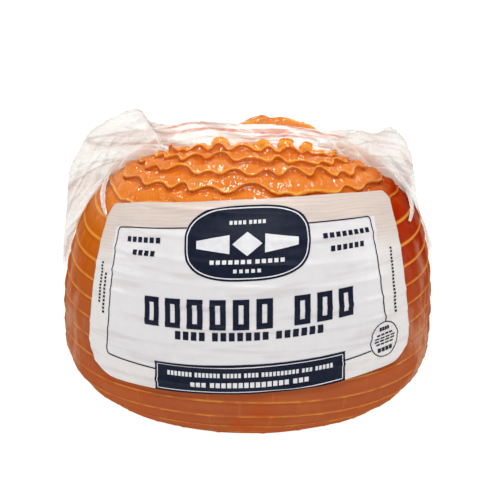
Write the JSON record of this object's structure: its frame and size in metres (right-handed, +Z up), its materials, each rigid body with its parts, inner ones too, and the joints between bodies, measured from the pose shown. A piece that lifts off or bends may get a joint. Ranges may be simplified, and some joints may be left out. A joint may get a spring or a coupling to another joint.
{
  "type": "smoked ham",
  "caption": "Half of a boneless smoked ham with net ridges, standing on its cut face in a tight clear bag with a crumpled fin and a wrapped paper label.",
  "frame": {"origin": "middle of the flat cut face that the ham stands on", "axes": "+Z up, +X to the right and -Y towards the viewer who reads the label"},
  "size_m": [0.1478, 0.1241, 0.1164],
  "materials": {
    "ham": "moist orange-brown smoked meat under a tight glossy clear film",
    "label": "coated paper with plain print",
    "bag_film": "clear crumpled shrink film"
  },
  "bodies": {
    "root": {"ham": "ham", "label": "label", "bag_film": "bag_film"}
  },
  "joints": []
}
